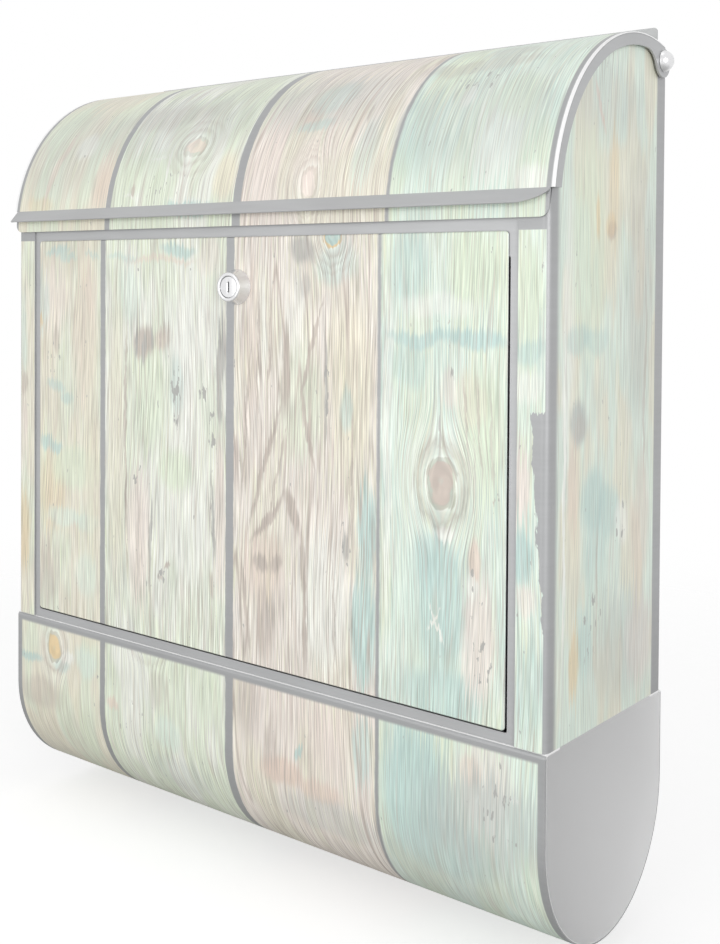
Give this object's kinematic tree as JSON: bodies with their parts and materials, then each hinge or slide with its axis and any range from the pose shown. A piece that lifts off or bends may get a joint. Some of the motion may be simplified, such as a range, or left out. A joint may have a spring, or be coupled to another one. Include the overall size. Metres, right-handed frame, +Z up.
{
  "type": "wall mounted mailbox",
  "caption": "Wall mounted sheet steel mailbox with a curved lift-up lid over the mail slot, a drop-down lockable front door and an open newspaper tube underneath.",
  "frame": {"origin": "on the wall plane, at the centre of the four wall holes in the back panel", "axes": "+X along the wall to the viewer's right, +Y into the wall, +Z up"},
  "size_m": [0.3956, 0.1382, 0.465],
  "materials": {
    "printed_steel": "satin film with a printed weathered plank pattern",
    "grey_steel": "smooth light grey coating",
    "zinc_steel": "zinc plated",
    "bright_metal": "polished nickel"
  },
  "bodies": {
    "case": {"newspaper_tube": "printed_steel", "side_panel_left": "printed_steel", "side_panel_right": "printed_steel", "back_panel": "grey_steel", "floor_tray": "grey_steel", "front_frame": "grey_steel", "hinge_bracket_left": "grey_steel", "hinge_bracket_right": "grey_steel", "front_rivets": "zinc_steel", "rear_rivets": "zinc_steel", "hinge_pins": "zinc_steel", "pivot_spacers": "zinc_steel", "pivot_nuts": "zinc_steel", "pivot_screws": "bright_metal"},
    "door": {"door_panel": "printed_steel", "lock_housing": "bright_metal", "lock_nut": "zinc_steel", "door_stiffener_left": "grey_steel", "door_stiffener_right": "grey_steel"},
    "lock": {"lock_plug": "bright_metal", "lock_cam": "zinc_steel", "cam_screw": "zinc_steel"},
    "lid": {"lid_skin": "printed_steel", "lid_lip": "grey_steel", "lid_cheek_left": "grey_steel", "lid_cheek_right": "grey_steel"}
  },
  "joints": [
    {"name": "lid_hinge", "type": "hinge", "parent": "case", "child": "lid", "pos_m": [0, -0.011, 0.20479], "axis": [-1, 0, 0], "range_deg": [0, 80]},
    {"name": "door_hinge", "type": "hinge", "parent": "case", "child": "door", "pos_m": [0, -0.125, -0.108], "axis": [1, 0, 0], "range_deg": [0, 95]},
    {"name": "lock_turn", "type": "hinge", "parent": "door", "child": "lock", "pos_m": [0, -0.13, 0.085], "axis": [0, -1, 0], "range_deg": [0, 90]}
  ]
}
